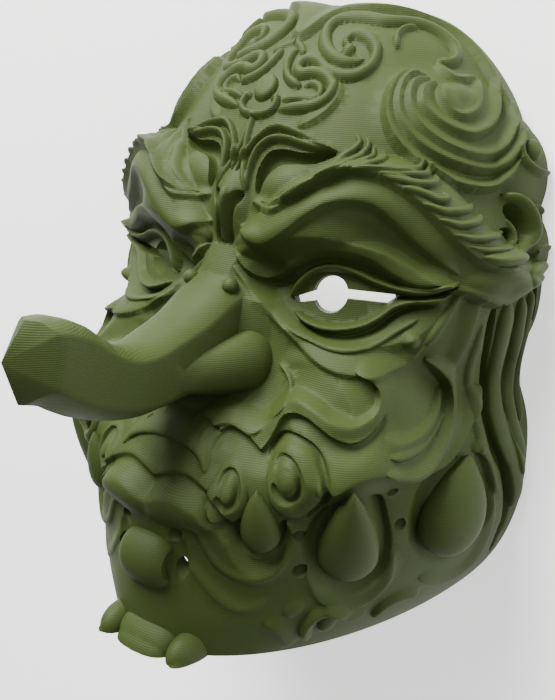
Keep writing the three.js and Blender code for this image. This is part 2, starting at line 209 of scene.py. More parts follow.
def head_radius(p, q):
    """How far the plain head reaches along a line of sight."""
    ray = direction(p, q)
    low = np.full(ray.shape[:-1], 5.0)
    high = np.full(ray.shape[:-1], 190.0)
    # The surface is found by halving: 24 times is finer than a thousandth of a millimetre
    for _ in range(24):
        middle = (low + high) / 2
        within = head(*np.moveaxis(ray * middle[..., None], -1, 0)) < 0
        low = np.where(within, middle, low)
        high = np.where(within, high, middle)
    return np.minimum(low, JAW_STOP / np.maximum(-ray[..., 1], 1e-6))


print("the plain head is", round(float(head_radius(0.0, 0.0)), 1), "mm deep at the middle")


# %% Carving tools
# Hollows are made bolder by no more than this
HOLLOW_BOLDNESS = 1.2
PIECES_AT_ONCE = 6


def smooth(t):
    """From 0 to 1 with a soft start and end."""
    return t * t * (3 - 2 * t)


def bend(a, b, c, d, t):
    """A place between b and c on the smooth line through all four."""
    return 0.5 * (2 * b + (c - a) * t + (2 * a - 5 * b + 4 * c - d) * t ** 2
                  + (3 * b - a - 3 * c + d) * t ** 3)


def run_on(rows):
    """Rows with one more at each end, straight on."""
    return np.vstack([2 * rows[0] - rows[1], rows, 2 * rows[-1] - rows[-2]])


def curve(places, closed=False, pace=0.7):
    """A smooth line through the named places, as short straight pieces."""
    given = np.array(places, float)
    if closed:
        padded = np.vstack([given[-1], given, given[0], given[1]])
    else:
        padded = run_on(given)
    line = []
    for a, b, c, d in zip(padded, padded[1:], padded[2:], padded[3:]):
        count = max(2, int(np.hypot(*(c - b)) / pace) + 1)
        t = (np.arange(count) / count)[:, None]
        line.append(bend(a, b, c, d, t))
    return np.vstack(line + [padded[-2:-1]])


def nearest(p, q, line, reach):
    """Distance to a line, which side of it, and how far along it."""
    best = np.full(p.shape, 1e9)
    left = np.zeros(p.shape, bool)
    along = np.zeros(p.shape)
    steps = np.diff(line, axis=0)
    lengths = np.hypot(*steps.T)
    passed = np.concatenate([[0], np.cumsum(lengths)])
    for first in range(0, len(steps), PIECES_AT_ONCE):
        # Only the points round these few pieces of the line are looked at
        some = line[first:first + PIECES_AT_ONCE + 1]
        low, high = some.min(0) - reach, some.max(0) + reach
        spot = np.nonzero((p >= low[0]) & (p <= high[0]) & (q >= low[1]) & (q <= high[1]))[0]
        for n in range(first, min(first + PIECES_AT_ONCE, len(steps))):
            (x, y), (dx, dy) = line[n], steps[n]
            t = np.clip(((p[spot] - x) * dx + (q[spot] - y) * dy) / (lengths[n] ** 2 + 1e-12), 0, 1)
            ex = p[spot] - x - t * dx
            ey = q[spot] - y - t * dy
            distance = np.hypot(ex, ey)
            closer = distance < best[spot]
            here = spot[closer]
            best[here] = distance[closer]
            left[here] = (dx * ey - dy * ex > 0)[closer]
            along[here] = (passed[n] + t * lengths[n])[closer] / passed[-1]
    return best, left, along


class Carving:
    """Heights in mm over a sheet of places, changed by one tool after another."""

    def __init__(self, p, q):
        self.p = np.abs(p)
        self.q = q
        self.boldness = 1.0
        self.height = np.zeros(p.shape)

    def bold(self, rise):
        """Raised work is made bolder than hollows are, which would break through the wall."""
        return rise * (self.boldness if rise > 0 else min(self.boldness, HOLLOW_BOLDNESS))

    def near(self, low, high):
        """The points inside a box."""
        return np.nonzero((self.p >= low[0]) & (self.p <= high[0])
                          & (self.q >= low[1]) & (self.q <= high[1]))

    def hill(self, a, b, ra, rb, rise, turn=0, power=2.0, flat=0.0):
        """A rounded swelling, or a hollow, on a turned ellipse."""
        reach = max(ra, rb)
        spot = self.near((a - reach, b - reach), (a + reach, b + reach))
        cos, sin = math.cos(math.radians(turn)), math.sin(math.radians(turn))
        x, y = self.p[spot] - a, self.q[spot] - b
        d = np.hypot((x * cos + y * sin) / ra, (y * cos - x * sin) / rb)
        d = np.clip((d - flat) / (1 - flat), 0, 1)
        self.height[spot] += self.bold(rise) * (1 - d * d) ** power

    def stroke(self, places, half, taper):
        """The points near a line, and how much of its size the tapered ends leave there."""
        line = curve(places)
        spot = self.near(line.min(0) - half, line.max(0) + half)
        distance, left, along = nearest(self.p[spot], self.q[spot], line, half)
        size = np.ones(along.shape)
        for part, length in ((along, taper[0]), (1 - along, taper[1])):
            if length > 0:
                t = np.clip(part / length, 0, 1)
                size = np.minimum(size, np.sqrt(t * (2 - t)))
        return spot, distance, left, size

    def ridge(self, places, half, rise, taper=(0.2, 0.2), power=1.0):
        """A raised line with a round back."""
        spot, distance, _, size = self.stroke(places, half, taper)
        u = np.clip(distance / (half * np.maximum(size, 0.02)), 0, 1)
        self.height[spot] += self.bold(rise) * size * (1 - u * u) ** power

    def groove(self, places, half, depth, taper=(0.2, 0.2)):
        """A ridge turned inwards, with soft edges."""
        self.ridge(places, half, -depth, taper, power=2)

    def step(self, places, rise, half, edge=0.9, taper=(0.15, 0.15)):
        """A crest that falls steeply to the right of its line and gently to the left."""
        spot, distance, left, size = self.stroke(places, max(half, edge), taper)
        gentle = np.clip(distance / (half * np.maximum(size, 0.02)), 0, 1)
        steep = np.clip(distance / (edge * np.maximum(size, 0.1)), 0, 1)
        self.height[spot] += self.bold(rise) * size * np.where(left, 1 - smooth(gentle), 1 - steep)

    def dish(self, places, rise, edge=1.0):
        """A hollow inside a closed outline, rounded at its edge."""
        line = curve(places, closed=True)
        spot = self.near(line.min(0) - 0.1, line.max(0) + 0.1)
        p, q = self.p[spot], self.q[spot]
        inside = np.zeros(p.shape, bool)
        for (xa, ya), (xb, yb) in zip(line, line[1:]):
            inside ^= ((ya > q) != (yb > q)) & (p < (xb - xa) * (q - ya) / (yb - ya + 1e-12) + xa)
        u = np.clip(nearest(p, q, line, edge)[0] / edge, 0, 1)
        self.height[spot] += np.where(inside, self.bold(rise) * np.sqrt(1 - (1 - u) ** 2), 0)


# %% [markdown]
# ## The broad form
#
# A carver first sets the big masses: cheeks, lips, brow, sockets. The hollow inside of the
# shell follows these alone, so the wall stays even under the fine carving.

# %% Big masses
def broad_form(face):
    face.hill(37, -14, 21, 15, 11, turn=-30, power=1.5, flat=0.15)  # cheek apple
    face.hill(28, -18, 16, 14, 6, power=1.3, flat=0.1)  # mass of the curls
    face.hill(0, 3, 16, 17, 7, power=1.2)  # root of the nose
    face.hill(7, -24, 9, 4.5, 4, power=1.2)  # lower lip
    face.hill(17, -33, 14, 9, -2, power=1.5)  # hollow round the fang
    face.hill(0, -38, 13, 9, 1, power=1.5)  # chin
    face.ridge([(4, 20), (12, 23), (22, 29), (33, 34), (43, 33), (52, 28), (62, 23), (72, 20),
                (84, 24)], 10, 10, taper=(0.45, 0.6), power=1.2)  # brow
    face.hill(30, 12, 22, 11, -7.5, turn=-6, power=1.0, flat=0.15)  # eye socket
    face.hill(29, 11, 12, 7, 2, power=1.0)  # eye ball
    face.hill(12, 14, 8, 6, -4, power=1.2)  # inner corner of the eye
    face.hill(0, 29, 6, 9, 4, power=1.5)  # fold of the forehead
    face.hill(70, 55, 14, 14, 5, power=1.0)  # temple
    face.hill(44, 56, 20, 16, 3, power=1.5)  # mass of the swirl
    face.hill(20, 74, 24, 11, 3, power=1.5)  # crown
    face.hill(84, 30, 8, 10, 2, power=1.2)  # end of the brow


# %% [markdown]
# ## The carving
#
# Many lines on the face are steps: a crest with a steep fall on one side, as a gouge leaves.
# Each region has its own function, so that one can be read, or changed, at a time.

# %% Crown band and scrolls
def crown_scrolls(face):
    face.step([(0, 66), (1.5, 67), (3.5, 71), (7, 74.5), (12, 76.5), (18, 79.5), (25, 82.5),
               (33, 82.5), (41, 78.5), (49, 72), (56, 65), (60.5, 57)], 1.8, 12, edge=1.3,
              taper=(0.0, 0.2))
    # An outer scroll that opens into a long hooked band
    face.ridge([(19, 63.4), (17.6, 61.9), (15, 61.5), (11.4, 62.6), (8, 65.2), (6.2, 68.4),
                (6.8, 71.2), (9.6, 72.6), (14, 73), (18, 73), (21, 74.2), (24.4, 76.2), (28, 77.2),
                (32, 76.8), (35.6, 75.2), (37.6, 72.2), (36.8, 69.6), (33.8, 68.4)],
               1.5, 1.6, taper=(0.15, 0.08), power=0.7)
    # An inner scroll that winds the other way and runs on round the flower
    face.ridge([(14.2, 65.2), (12.7, 66.4), (13.8, 68.1), (17.5, 67.7), (20.6, 65.6), (21.4, 62),
                (19.8, 59), (16.6, 58), (12.6, 58.8), (9, 60.6), (6.4, 60.2), (5.6, 58.2),
                (7.2, 56.9), (10, 57.6), (13, 57.4), (15.6, 55.6), (16.2, 53.2), (15, 51.2),
                (12.2, 50), (8.6, 49.2), (5.6, 48.6)], 1.3, 1.5, taper=(0.1, 0.1), power=0.7)
    face.hill(14.5, 64.4, 1.6, 1.5, 1.3, power=0.7)
    face.ridge([(24.6, 67.4), (22.9, 70), (23.2, 72.6), (25.4, 74.6)], 0.9, 1.2)
    face.step([(34, 68), (36.5, 66), (40, 65), (42.5, 66.6), (44, 70)], 1.2, 3.5, edge=1.2,
              taper=(0.3, 0.3))


# %% The big swirl
def temple_swirl(face):
    # Five locks, one inside the other, that sweep from a curled head round to the crown
    for places, rise in [
            ([(38.2, 62.6), (38.4, 59.8), (40.4, 57), (43.6, 55.2), (46.6, 56), (48.2, 59.6),
              (47.2, 64.5), (45, 70)], 1.2),
            ([(36.4, 62.6), (34.8, 59.4), (36, 55.4), (39.6, 52.9), (44.5, 51.6), (49.6, 52.3),
              (52.8, 56), (53.5, 61), (52, 67), (49, 72.5)], 1.4),
            ([(34.6, 63.2), (32.4, 60), (33, 55.6), (36.2, 51.4), (41, 48.9), (46.5, 47.8),
              (53, 48.4), (57.6, 51.6), (59, 57), (58.2, 63), (56, 68)], 1.5),
            ([(33.6, 63.8), (30.6, 61), (30.6, 56), (32.8, 51.5), (37, 47.8), (42, 45.8), (48, 45),
              (54.8, 45.7), (60, 48.6), (61.6, 53.6), (61.2, 59.5)], 1.6),
            ([(32.5, 64), (28.9, 61.4), (28.2, 56.5), (29.8, 51.3), (33.5, 46.8), (38.5, 43.8),
              (45, 41.5), (52, 40.7), (58.4, 42), (62.2, 45.8), (63.4, 51.6)], 1.9)]:
        face.step(places, rise, 3.4, edge=1.1, taper=(0.15, 0.2))
    face.hill(42.5, 60.5, 4.6, 4.4, 1.2, power=1.0)


# %% Flower on the forehead
def flower(face):
    face.hill(0, 53, 2.9, 2.9, 1.3, power=0.4, flat=0.6)
    face.ridge([(2.3, 62.8), (1.9, 60.5), (3, 57.4), (5.4, 55.2), (8.8, 54)], 1.0, 1.3, power=0.7)
    face.ridge([(9.4, 54.2), (11, 55.2), (13, 54.8), (14, 53.2), (12.6, 51.9), (9.5, 51.6),
                (5.6, 50.8)], 0.9, 1.0, power=0.7)
    face.ridge([(0, 47), (2.8, 47.4), (4.6, 48.8), (4.2, 51), (2.8, 50.6)], 0.9, 1.3,
               taper=(0, 0.3), power=0.7)
    face.step([(12, 45.8), (15, 47.4), (17.4, 50.3), (18.2, 53.8), (16.8, 57)], 0.9, 4, edge=1.0,
              taper=(0.3, 0.3))
    face.ridge([(0, 65), (2.2, 64), (4.6, 62)], 0.9, 0.8)


# %% Folds of the forehead
def forehead_folds(face):
    face.ridge([(0.6, 35), (1.6, 39), (4.2, 43), (7.5, 45), (12, 44.6), (17, 43.4), (23, 42.4)],
               0.9, 1.5, taper=(0.3, 0.3))
    face.ridge([(4.6, 31.5), (3.8, 36), (4.6, 40), (7.2, 42.4), (11, 42.9), (16, 42.3),
                (22.5, 42.2)], 0.9, 1.6, taper=(0.3, 0.4))
    # A leaf-shaped hollow under them, with a low mound below it
    face.dish([(6.4, 32), (5.7, 36), (7, 39.7), (10, 41), (16, 41), (22.6, 42), (19, 39.4),
               (14, 38.5), (10.6, 37.6), (8.6, 35), (7.6, 31.6)], -3.2, edge=1.4)
    face.hill(13.5, 34, 6.5, 4.2, 1.3, power=1.0, turn=15)
    # The furrow between the brows
    face.groove([(4, 31), (1.8, 28), (1.3, 24), (1.8, 19.5)], 1.5, 2.6)
    face.ridge([(0, 46), (0.8, 40), (2.4, 35.5), (4.4, 31)], 0.9, 1.0, taper=(0, 0.4))
    face.ridge([(0, 31), (0.2, 26), (0.6, 20)], 1.4, 0.9)


# %% Brow
def brow_rolls(face):
    face.step([(4.2, 24.2), (6.4, 22.6), (9.5, 20.7), (13, 20.3), (17, 22.6), (21, 26), (25, 29),
               (30, 30.4), (34.5, 30), (39, 27.8), (43.5, 24.9), (48, 22), (54, 18.6)],
              1.4, 4.5, edge=1.0, taper=(0.12, 0.35))
    # The lower edge hangs over the eye and ends in a bulge at the temple
    face.step([(4, 19), (7.5, 15.4), (11.5, 13.7), (15.5, 15), (18.5, 17.2), (22, 19.9),
               (26, 21.3), (31, 21.4), (36, 20.4), (41, 17.8), (46, 15.8), (51, 16),
               (56, 14.9), (61, 13.2), (67, 11.4), (72, 12.8), (76.5, 16), (79, 20)],
              2.5, 6, edge=1.3, taper=(0.1, 0.12))
    face.hill(66, 16.5, 11, 5, 2.2, turn=2, power=1.2, flat=0.2)
    face.hill(78.2, 20.6, 6.2, 3.5, 1.4, turn=38, power=0.6, flat=0.3)


# %% Lids
def lids(face):
    # The upper lid, the lower lid, and the furrow and fold under the lower one
    face.ridge([(18.8, 10), (20.6, 13.6), (23.6, 16.8), (28, 18.2), (33, 17.6), (38, 15.8),
                (43, 14.5), (48, 14.2), (52, 15.6), (54.6, 17.2)], 1.1, 2.2, taper=(0.1, 0.25))
    face.ridge([(20.4, 7), (23.5, 5.3), (27.5, 4.3), (32, 4.5), (36.5, 5.8), (39.8, 8),
                (42.6, 10.6), (46.5, 12), (51, 12.6), (54.5, 14.6)], 1.1, 2.0, taper=(0.15, 0.25))
    face.groove([(22, 4.6), (27, 2.7), (31.5, 2.1), (36, 3.1), (40, 5.3), (43, 8.3),
                 (46.5, 10.4), (51, 11)], 1.1, 1.8)
    face.ridge([(19.5, 3.8), (24, 2.4), (29, 0.9), (34, 0.6), (39, 2), (43.5, 5), (48, 8)],
               0.9, 0.9)
    # The line that runs on from the outer corner of the eye
    face.groove([(43, 12.6), (47, 12.7), (51, 13.8), (54.4, 16)], 0.6, 2.2)


# %% Cheek
def cheek(face):
    # A wart under the eye
    face.hill(46.6, 3, 2.2, 2.4, 1.6, power=1.0)
    # The fold from the nose to the outer corner of the eye
    face.step([(4.5, 15), (8, 12), (12.5, 8.3), (17, 4.8), (21.5, 1.4), (26, -1.4), (31, -3.2),
               (36, -3.7), (41, -3.6), (46.5, -2.4), (50, 2.5)], 1.2, 4, edge=1.2, taper=(0.2, 0.3))
    face.ridge([(56.5, 14.5), (53.5, 8), (50, 1.5)], 1.4, 0.9)
    face.step([(57.5, -12), (59.3, -4), (60.8, 4), (61.8, 13)], 1.2, 5, taper=(0.4, 0.1))
    # The hooked crest, and the hollow that it holds
    crest = [(35.2, -3.1), (37.6, -4), (39.6, -6), (40, -8), (39.2, -9.9), (37.2, -11),
             (34.7, -11.4), (31.1, -10.4), (29, -9.3), (26.7, -8.6), (24.9, -8.4), (23.4, -8.7),
             (22.3, -9.6), (20.8, -11.3), (19.3, -12.7), (17.8, -13.7), (16.3, -14.1), (14.6, -13.9),
             (12.8, -13.5), (10.9, -13.1), (8.7, -13.1), (6.4, -13.6), (4.6, -14.4), (3.6, -15.8)]
    face.step(crest, 1.9, 4.4, edge=0.8, taper=(0.1, 0.06))
    # The floor sinks towards the crest, and ends at its foot, from the lip to the hook
    face.step([(p, q + 0.6) for p, q in crest[18:5:-1]], -2.2, 5.5, edge=0.7, taper=(0.2, 0.3))
    face.ridge([(18.6, -5), (20.2, -5.6), (21.6, -6.8), (22.2, -8.2), (21.6, -9.8), (20.3, -11.3),
                (18.8, -12.8)], 0.8, 1.2, taper=(0.3, 0.3))
    # The lower edge of the band under the crest, which falls into a dark hollow
    foot = [(9.7, -18.5), (9.7, -17.3), (10.7, -16.2), (12.9, -15.7), (15.3, -16), (17.2, -17),
            (18.4, -17.8), (19.5, -17.3), (20.7, -15.6), (21.7, -13.7), (22.9, -11.8),
            (24.9, -11.2), (26.8, -11.2), (29, -12.2), (31.1, -13.5), (32.7, -14.2),
            (34.6, -14.6), (37, -14.3), (39.2, -13), (40.6, -11)]
    face.step(foot, 0.5, 1.4, edge=0.7, taper=(0.1, 0.2))
    face.step(foot[::-1], -2.1, 3.0, edge=0.8, taper=(0.25, 0.1))
    face.step([(6.6, -16.8), (8.3, -15.3), (11.3, -14.6), (14.2, -14.8), (16.5, -15), (18.4, -14.2)],
              0.8, 1.3, edge=0.6, taper=(0.2, 0.3))
    face.hill(30.6, -16.4, 6.5, 3.8, -0.8, power=1.0, turn=-20)
    # The outer crescent and the folds that sweep out of it
    face.step([(50.2, -2), (53.4, -4.8), (56.2, -8.6), (57.9, -13), (57.6, -17.2), (55, -20.8),
               (50.5, -23), (45, -22.6), (40, -19.4)], 2.6, 4, edge=1.8, taper=(0.2, 0.35))
    face.step([(55.4, -12), (53, -15.6), (49, -17.2), (44.5, -16.8), (40.6, -14.6)],
              1.8, 3.4, edge=1.0, taper=(0.25, 0.25))
    face.ridge([(41, -17.6), (45.5, -19.4), (50.5, -19.9), (55.6, -18.2)], 1.0, 1.1)
    # The edge of the cheek above the teeth
    face.step([(29, -21.4), (32, -20.6), (34, -19.6), (36, -19.1), (38, -19.3), (40.6, -20.5),
               (43.3, -22.9), (46.4, -25.2), (50, -27.2), (53, -27.6), (57, -26), (61, -23.4),
               (65, -20.5), (69, -16.5)], 2.4, 7, edge=1.1, taper=(0.1, 0.1))


# %% Side locks
def side_locks(face):
    face.groove([(67.4, 12), (67.5, 4), (69, -3), (70.4, -9), (70.8, -14), (69.8, -19),
                 (67.8, -25), (67.1, -32), (67.6, -38), (68, -43), (66.6, -50), (63.5, -57), (59, -63)],
                1.6, 3.0, taper=(0.1, 0.2))
    for places, half, rise in [
            ([(72.5, 12), (73, 3), (74.5, -5), (75.4, -12), (74, -19), (71.8, -26), (71, -34),
              (71.5, -42), (70, -50), (66.5, -57)], 3.0, 1.7),
            ([(78.4, 13), (79.4, 4), (81.8, -4), (83.2, -11), (82, -18), (78.2, -25), (76, -32),
              (75.4, -40), (73, -48)], 2.3, 1.7),
            ([(82.5, 15), (83.2, 5), (85.5, -4), (87.2, -12), (86.2, -19), (82, -27), (79, -34)],
             1.6, 1.4)]:
        face.ridge(places, half, rise, taper=(0.1, 0.15), power=0.6)
    face.ridge([(64.6, 6), (64.8, -4), (65.2, -14), (64.8, -24), (64.2, -36), (64.5, -48)], 2.0, 0.8)


# %% Pockets of the fangs
def fang_pockets(face):
    for half, pocket in [
            (1.5, [(14.9, -27.5), (15.2, -30.8), (17, -33.6), (20, -33.6), (22.2, -30.6), (22.6, -27)]),
            (1.8, [(32, -25), (28.6, -28), (26, -32.5), (26.4, -38), (28.8, -41.9), (32.2, -43.2),
                   (35.6, -41.8), (37.4, -37.6), (37.6, -31), (37, -25)]),
            (2.2, [(56.5, -29.6), (51.5, -30.4), (46.8, -33), (44, -38), (43.8, -43.4),
                   (46.4, -48.8), (51.5, -51.6), (57.4, -49.6), (61.6, -44.5), (62.6, -37),
                   (61.4, -31)])]:
        face.groove(pocket, half, 2.4, taper=(0.15, 0.15))
    # Outer folds round the two large pockets
    face.step([(24.4, -37), (25.6, -42.4), (28.4, -46.6), (32.4, -48), (36.4, -46.2), (38.8, -41)],
              0.8, 2.4, edge=0.8)
    face.step([(41, -51), (43, -56.5), (46.5, -61), (50.5, -62.3), (55, -59.5), (59.5, -53.5),
               (62.5, -47)], 1.0, 4, edge=1.0)


# %% Curls of the lip
def lip_curls(face):
    # The body of each curl, then the ring round its button; all as p, q and two radii
    for body, ring, rise in [
            ((25, -20.6, 4.8, 5.9), (23.9, -19.7, 2.3, 3), 1.9),
            ((14, -23.2, 3.3, 4.4), (14, -22.2, 1.6, 2.1), 1.3)]:
        face.hill(*body, rise, power=0.6, flat=0.5)
        p, q, across, up = ring
        places = [(p + across * math.cos(t), q + up * math.sin(t))
                  for t in np.radians(np.arange(160, -190, -30))]
        face.groove(places, 0.8, 1.7, taper=(0.15, 0.1))
        face.hill(p, q, across * 0.6, up * 0.6, 0.6, power=0.7)
    face.groove([(19.8, -18.5), (21.5, -15.8), (24.8, -14.4), (28.6, -15.8), (30.4, -19.6),
                 (29.4, -23.8), (26, -27)], 0.9, 1.8)
    face.groove([(10.4, -23.4), (11.6, -26.2), (14.2, -27.9), (16.4, -26.4)], 0.8, 1.8)


# %% Mouth
def mouth(face):
    # The lower lip is a flat shelf, and its crest falls steeply on the upper side
    face.step([(23.3, -26.8), (22.4, -30.2), (21.1, -32.2), (18.2, -33.5), (15.2, -31.6),
               (13.8, -29.6), (12.9, -27.2), (11.7, -25), (10.1, -23.8), (8.5, -23.1), (6.7, -22.7),
               (5, -22.7), (3.1, -23.3), (1.3, -24.1), (0, -24.5)], 1.7, 6, edge=0.7, taper=(0.1, 0))
    face.groove([(0, -23.2), (2.2, -22.4), (5, -21.8), (7.4, -22), (9.6, -22.9), (11.6, -24.2),
                 (13.2, -26.6), (14.2, -29.6)], 1.3, 2.3, taper=(0, 0.1))
    # Two fine ridges run down from it round the fang
    face.ridge([(7.1, -26.2), (8.6, -27.5), (9.8, -29.5), (11.3, -32.2), (13.1, -33.9), (15, -35),
                (17, -35.6), (19.3, -35.5), (21, -34.6), (22.6, -32.4)], 0.8, 0.5, taper=(0.3, 0.2))
    face.ridge([(7.5, -32.9), (9, -34.5), (10.3, -36.2), (11.7, -37.6), (13, -38.8), (14.6, -39.6),
                (16.4, -39.8), (18.2, -39)], 0.8, 0.5, taper=(0.1, 0.2))
    # The thin upper lip and the furrow above it
    face.ridge([(0, -16.8), (4, -17.1), (7.8, -18.2), (9.8, -20.4)], 1.1, 1.6, taper=(0, 0.3))
    face.groove([(0, -15), (4, -15.1), (7, -15.6), (10, -16.4)], 1.0, 1.8, taper=(0, 0.3))
    # A dent beside each end of the roll
    face.hill(5.6, -32.4, 1.8, 3, -1.4, power=0.8)


# %% Chin
def chin_leaves(face):
    # Low leaves beside the tall ones that stand on the jaw edge
    face.step([(17.2, -42.3), (18.6, -44.6), (18.9, -48.6)], 1.0, 2.2, taper=(0.3, 0.1))
    face.hill(21.6, -42, 1.7, 1.4, 0.8, power=0.7)
    face.ridge([(21.6, -49.4), (22.2, -46.4), (24.6, -44.6), (27.2, -45.6), (28.6, -48.4),
                (30.6, -51)], 1.1, 1.8)
    face.hill(25, -48, 1.5, 1.5, 1.4, power=0.7)
    face.ridge([(31, -53.5), (34, -51.8), (37.4, -52.8), (39.6, -56)], 1.1, 1.5)
    face.hill(62.9, -30.6, 2.2, 2.2, 1.0, power=1.0)
    face.groove([(62.5, -57.3), (59, -62), (55.4, -67.5)], 0.8, 1.6)


# %% Temple
def temple_roundel(face):
    face.hill(65.8, 55.2, 2.2, 3.4, 1.4, turn=40, power=0.6, flat=0.3)
    face.ridge([(62.4, 61), (61.9, 57), (63, 52.8), (66.4, 50.2), (70.6, 49.8), (74.5, 51.6)], 1.1, 1.3)
    face.ridge([(70.5, 38.8), (73, 41.2), (76.5, 42.4), (80, 41.4)], 1.1, 1.1)
    face.step([(84.6, 30.4), (80, 29.3), (78, 27)], 1.1, 4, edge=1.1, taper=(0.2, 0.2))


# %% Hair of the brow
def brow_hair(face):
    # The band under the hair ends in a crest that falls to the brow
    face.step([(6.2, 29.6), (10, 28.3), (13.6, 27.2), (16.6, 28.6), (20, 31.8), (24, 34.6),
               (28, 35.6), (33, 35.5), (38, 34), (43, 31.4), (48, 27.8), (52, 24.8), (56, 22.4),
               (60, 20.8), (65, 20.8), (70, 23.2), (75, 25.4)], 1.2, 3.2, edge=1.0, taper=(0.05, 0.1))
    for lock in [
            [(9, 29.6), (13, 30.2), (17, 33), (20.6, 36.8), (23.6, 40.6), (26, 43.4), (26.6, 45.2),
             (25.3, 46.6)],
            [(10.5, 28.9), (15, 29.6), (19, 32.6), (23, 37), (26.4, 40.8), (28.4, 43.4), (28.6, 45.2),
             (27.4, 46.4)],
            [(12, 28.2), (17, 29.6), (21.4, 33.2), (25.4, 37), (29, 40.4), (30.4, 42.8), (29.8, 45)],
            [(15.6, 28.8), (20, 31.6), (24.6, 35), (29, 38.2), (32, 40.4), (33, 42.4), (32.2, 44.4)],
            [(21, 33.4), (26, 35.8), (31, 37), (36, 38.4), (39.4, 40), (41, 42), (40.6, 43.6)],
            [(27, 35.8), (33, 36.6), (38.6, 37.8), (42, 39.4), (42.8, 41.8), (42, 43.2)],
            [(33, 35.6), (38.6, 35.8), (43, 36.6), (44.8, 38.6), (44.2, 41)],
            [(38, 34), (42.6, 34), (46, 33.4), (47.4, 34.6), (46.2, 35.6)],
            [(42.6, 31.6), (47.6, 31.2), (52, 33), (54.4, 35.4), (55.6, 38.2)],
            [(46.4, 29), (51.4, 29), (55.4, 31.2), (57.2, 33.6), (58.6, 35.4)],
            [(50, 26.4), (55.6, 26.6), (60, 28.4), (64, 30.6), (66, 32.6)],
            [(53.6, 24.4), (59.6, 24.6), (65.4, 26.6), (69.6, 29), (69.4, 32.2), (66, 35.8)]]:
        face.ridge(lock, 1.15, 1.15, taper=(0.4, 0.3), power=0.9)
    # The hook at the temple, and the two dark crescents it holds
    face.ridge([(57, 22.6), (62.6, 22.8), (68.4, 25), (73, 28.4), (74.4, 32.4), (72, 36.6),
                (68, 39.8), (63, 42)], 2.3, 2.6, taper=(0.4, 0.25), power=0.7)
    face.step([(62.5, 42.2), (66.5, 41), (71, 38.6), (75, 34.6), (77, 30.4), (78.6, 26.2)][::-1],
              1.6, 4, edge=1.0, taper=(0.1, 0.2))
    face.dish([(64.4, 39.6), (68.4, 37.6), (71, 34.4), (71.6, 31), (70, 31.2), (68.4, 34.4),
               (65, 37.2)], -3.4, edge=1.0)
    face.dish([(64.8, 32.6), (67, 33.4), (69, 31.2), (68.6, 29.6), (66.4, 31)], -2.6, edge=0.8)


# %% [markdown]
# ## The shell
#
# A grid is the start. Its square is drawn out to a disc, so that its edge is the rim, and every
# vertex is moved out along its line of sight to the height that the carving gives.

# %% From grid to dome
# The carving is drawn in low relief, and what is raised is made this much bolder
BOLDNESS = 1.6
# On a slope the wall is set deeper, by no more than this factor
STEEPEST = 2.4
# The slope is read this many degrees to each side
PROBE = 2
CARVERS = [crown_scrolls, temple_swirl, flower, forehead_folds, brow_rolls, lids, cheek, side_locks,
           fang_pockets, lip_curls, mouth, chin_leaves, temple_roundel, brow_hair]


def heights(p, q, carved):
    """How far the face stands off the plain head, with the carving or without it."""
    face = Carving(p, q)
    broad_form(face)
    if carved:
        face.boldness = BOLDNESS
        for carve in CARVERS:
            carve(face)
    return face.height


def broad_radius(p, q):
    return head_radius(p, q) + heights(p, q, False)


def wall_depth(p, q):
    """The wall keeps its thickness square to the face, so it is set deeper on a slope."""
    across = broad_radius(p + PROBE, q) - broad_radius(p - PROBE, q)
    upward = broad_radius(p, q + PROBE) - broad_radius(p, q - PROBE)
    slope = np.hypot(across, upward) / math.radians(2 * PROBE) / broad_radius(p, q)
    return WALL * np.minimum(np.hypot(1, slope), STEEPEST)


def disc(a, b):
    """A square from -1 to 1 drawn out to a disc, keeping its middle lines."""
    wide = np.abs(a) > np.abs(b)
    safe_a = np.where(a == 0, 1e-12, a)
    safe_b = np.where(b == 0, 1e-12, b)
    r = np.where(wide, a, b)
    turn = np.where(wide, np.pi / 4 * b / safe_a, np.pi / 2 - np.pi / 4 * a / safe_b)
    return r * np.cos(turn), r * np.sin(turn)


def face_outwards():
    """Turns every face outwards and leaves edit mode."""
    bpy.ops.mesh.select_all(action='SELECT')
    bpy.ops.mesh.normals_make_consistent(inside=False)
    bpy.ops.object.mode_set(mode='OBJECT')


def add_dome(name, cells, carved, floor):
    """The carved face down to the rim, or the plain inside of its wall, down to the floor."""
    bpy.ops.mesh.primitive_grid_add(x_subdivisions=cells, y_subdivisions=cells, size=2)
    dome = bpy.context.object
    dome.name = name
    mesh = dome.data
    flat = np.empty(len(mesh.vertices) * 3, np.float32)
    mesh.vertices.foreach_get("co", flat)
    flat = flat.reshape(-1, 3).astype(float)
    column = np.rint((flat[:, 0] + 1) / 2 * cells).astype(int)
    row = np.rint((flat[:, 1] + 1) / 2 * cells).astype(int)
    # Only the right half is worked out; the left half is its mirror image
    a, b = np.meshgrid(np.arange(cells // 2, cells + 1) / cells * 2 - 1,
                       np.arange(cells + 1) / cells * 2 - 1)
    u, v = disc(a, b)
    p, q = 90 * u, 90 * v
    size = head_radius(p, q) + heights(p, q, carved)
    if not carved:
        size -= wall_depth(p, q)
    place = direction(p, q) * size[..., None]
    edge = np.maximum(np.abs(a), np.abs(b)) > 1 - 1e-9
    place[edge, 2] = 0
    place[:, 0, 0] = 0
    mirrored = place[:, :0:-1] * (-1, 1, 1)
    place = np.concatenate([mirrored, place], axis=1)
    mesh.vertices.foreach_set("co", (place[row, column] * MM).astype(np.float32).ravel())
    mesh.update()
    # The edge ring is filled, after it is drawn down where the dome is a cutter
    bpy.ops.object.mode_set(mode='EDIT')
    bpy.ops.mesh.select_mode(type='EDGE')
    bpy.ops.mesh.select_all(action='DESELECT')
    bpy.ops.mesh.select_non_manifold()
    if floor < 0:
        bpy.ops.mesh.extrude_edges_move(TRANSFORM_OT_translate={"value": (0, 0, floor * MM)})
    bpy.ops.mesh.edge_face_add()
    face_outwards()
    return dome


